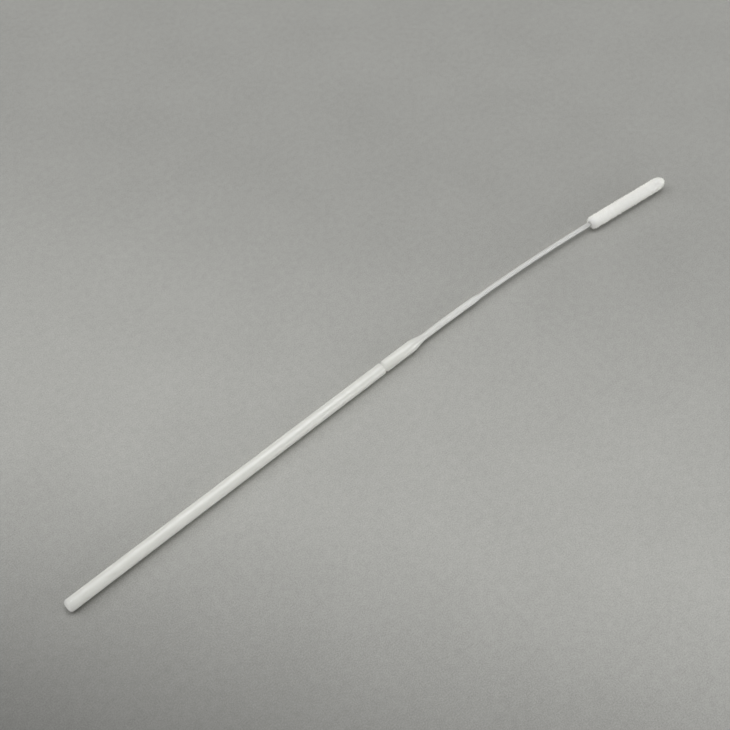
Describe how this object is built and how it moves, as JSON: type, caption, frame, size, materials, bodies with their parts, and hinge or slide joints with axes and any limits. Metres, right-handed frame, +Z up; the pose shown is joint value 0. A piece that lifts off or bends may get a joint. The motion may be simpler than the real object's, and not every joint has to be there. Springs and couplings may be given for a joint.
{
  "type": "flocked specimen swab",
  "caption": "Slim white flocked specimen swab: a one-piece moulded stick with a snap-off notch, a thin bowed shaft and a domed sleeve of nylon pile at its tip.",
  "frame": {"origin": "on the bench, below the middle of the swab's footprint", "axes": "+X along the handle's axis from the butt towards the tip, +Z up from the bench; the thin shaft bows towards -Y"},
  "size_m": [0.1514, 0.0074, 0.0029],
  "materials": {
    "stick": "satin white moulded polystyrene or ABS",
    "pile": "matt white flocked nylon pile"
  },
  "bodies": {
    "root": {"shaft": "stick", "flocked_tip": "pile"}
  },
  "joints": []
}
